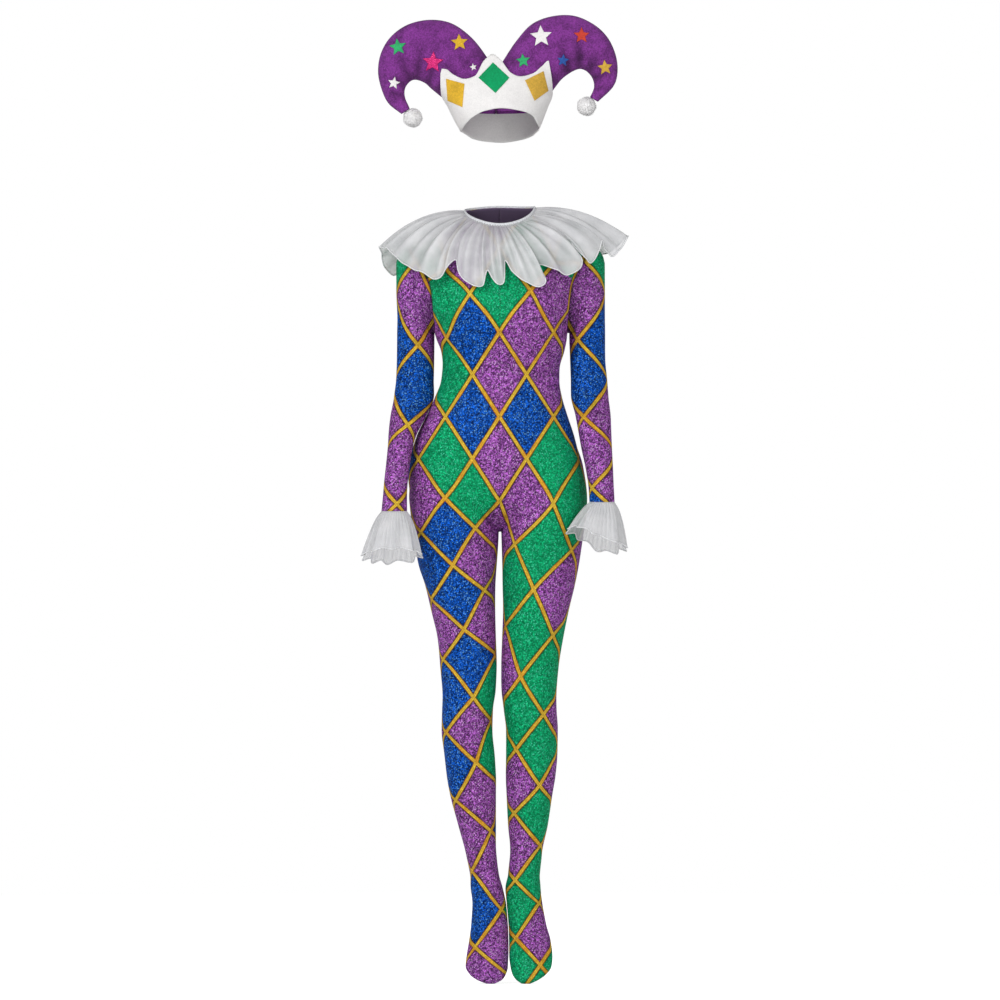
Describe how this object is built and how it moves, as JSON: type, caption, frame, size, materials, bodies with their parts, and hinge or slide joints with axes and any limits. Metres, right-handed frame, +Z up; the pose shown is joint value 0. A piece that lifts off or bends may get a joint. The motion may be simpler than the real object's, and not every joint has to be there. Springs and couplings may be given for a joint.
{
  "type": "clown costume",
  "caption": "Footed harlequin catsuit with sheer fluted neck collar and cuff ruffles, and a horned felt jester hat, hollow and posed as worn.",
  "frame": {"origin": "middle of the neck opening, where the collar's band lies round the neck", "axes": "+Z up along the standing wearer, +X to the wearer's left, -Y the way the wearer faces"},
  "size_m": [0.5316, 0.3124, 1.9314],
  "materials": {
    "bodysuit_back_left": "stretch knit covered in glitter, with a gold lattice",
    "bodysuit_back_right": "stretch knit covered in glitter, with a gold lattice",
    "bodysuit_front_left": "stretch knit covered in glitter, with a gold lattice",
    "bodysuit_front_right": "stretch knit covered in glitter, with a gold lattice",
    "collar_band": "elastic band ruched under organza",
    "collar_ruffle": "sheer organza with a fine rolled hem",
    "cuff_ruffle_left": "sheer organza with a fine rolled hem",
    "cuff_ruffle_right": "sheer organza with a fine rolled hem",
    "hat_crown_back": "matte felt",
    "hat_crown_front": "matte felt",
    "hat_diamond_centre": "matte felt",
    "hat_diamond_left": "matte felt",
    "hat_diamond_right": "matte felt",
    "hat_horn_left_back": "matte felt",
    "hat_horn_left_front": "matte felt",
    "hat_horn_right_back": "matte felt",
    "hat_horn_right_front": "matte felt",
    "hat_pompon_left": "fluffy yarn ball",
    "hat_pompon_right": "fluffy yarn ball",
    "hat_star_left_blue": "matte felt",
    "hat_star_left_gold": "matte felt",
    "hat_star_left_green": "matte felt",
    "hat_star_left_orange": "matte felt",
    "hat_star_left_white": "matte felt",
    "hat_star_right_gold": "matte felt",
    "hat_star_right_green": "matte felt",
    "hat_star_right_magenta": "matte felt",
    "hat_star_right_small_white": "matte felt",
    "hat_star_right_white": "matte felt",
    "sleeve_left": "stretch knit covered in glitter, with a gold lattice",
    "sleeve_right": "stretch knit covered in glitter, with a gold lattice"
  },
  "bodies": {
    "root": {"bodysuit_back_left": "bodysuit_back_left", "bodysuit_back_right": "bodysuit_back_right", "bodysuit_front_left": "bodysuit_front_left", "bodysuit_front_right": "bodysuit_front_right", "collar_band": "collar_band", "collar_ruffle": "collar_ruffle", "cuff_ruffle_left": "cuff_ruffle_left", "cuff_ruffle_right": "cuff_ruffle_right", "hat_crown_back": "hat_crown_back", "hat_crown_front": "hat_crown_front", "hat_diamond_centre": "hat_diamond_centre", "hat_diamond_left": "hat_diamond_left", "hat_diamond_right": "hat_diamond_right", "hat_horn_left_back": "hat_horn_left_back", "hat_horn_left_front": "hat_horn_left_front", "hat_horn_right_back": "hat_horn_right_back", "hat_horn_right_front": "hat_horn_right_front", "hat_pompon_left": "hat_pompon_left", "hat_pompon_right": "hat_pompon_right", "hat_star_left_blue": "hat_star_left_blue", "hat_star_left_gold": "hat_star_left_gold", "hat_star_left_green": "hat_star_left_green", "hat_star_left_orange": "hat_star_left_orange", "hat_star_left_white": "hat_star_left_white", "hat_star_right_gold": "hat_star_right_gold", "hat_star_right_green": "hat_star_right_green", "hat_star_right_magenta": "hat_star_right_magenta", "hat_star_right_small_white": "hat_star_right_small_white", "hat_star_right_white": "hat_star_right_white", "sleeve_left": "sleeve_left", "sleeve_right": "sleeve_right"}
  },
  "joints": []
}
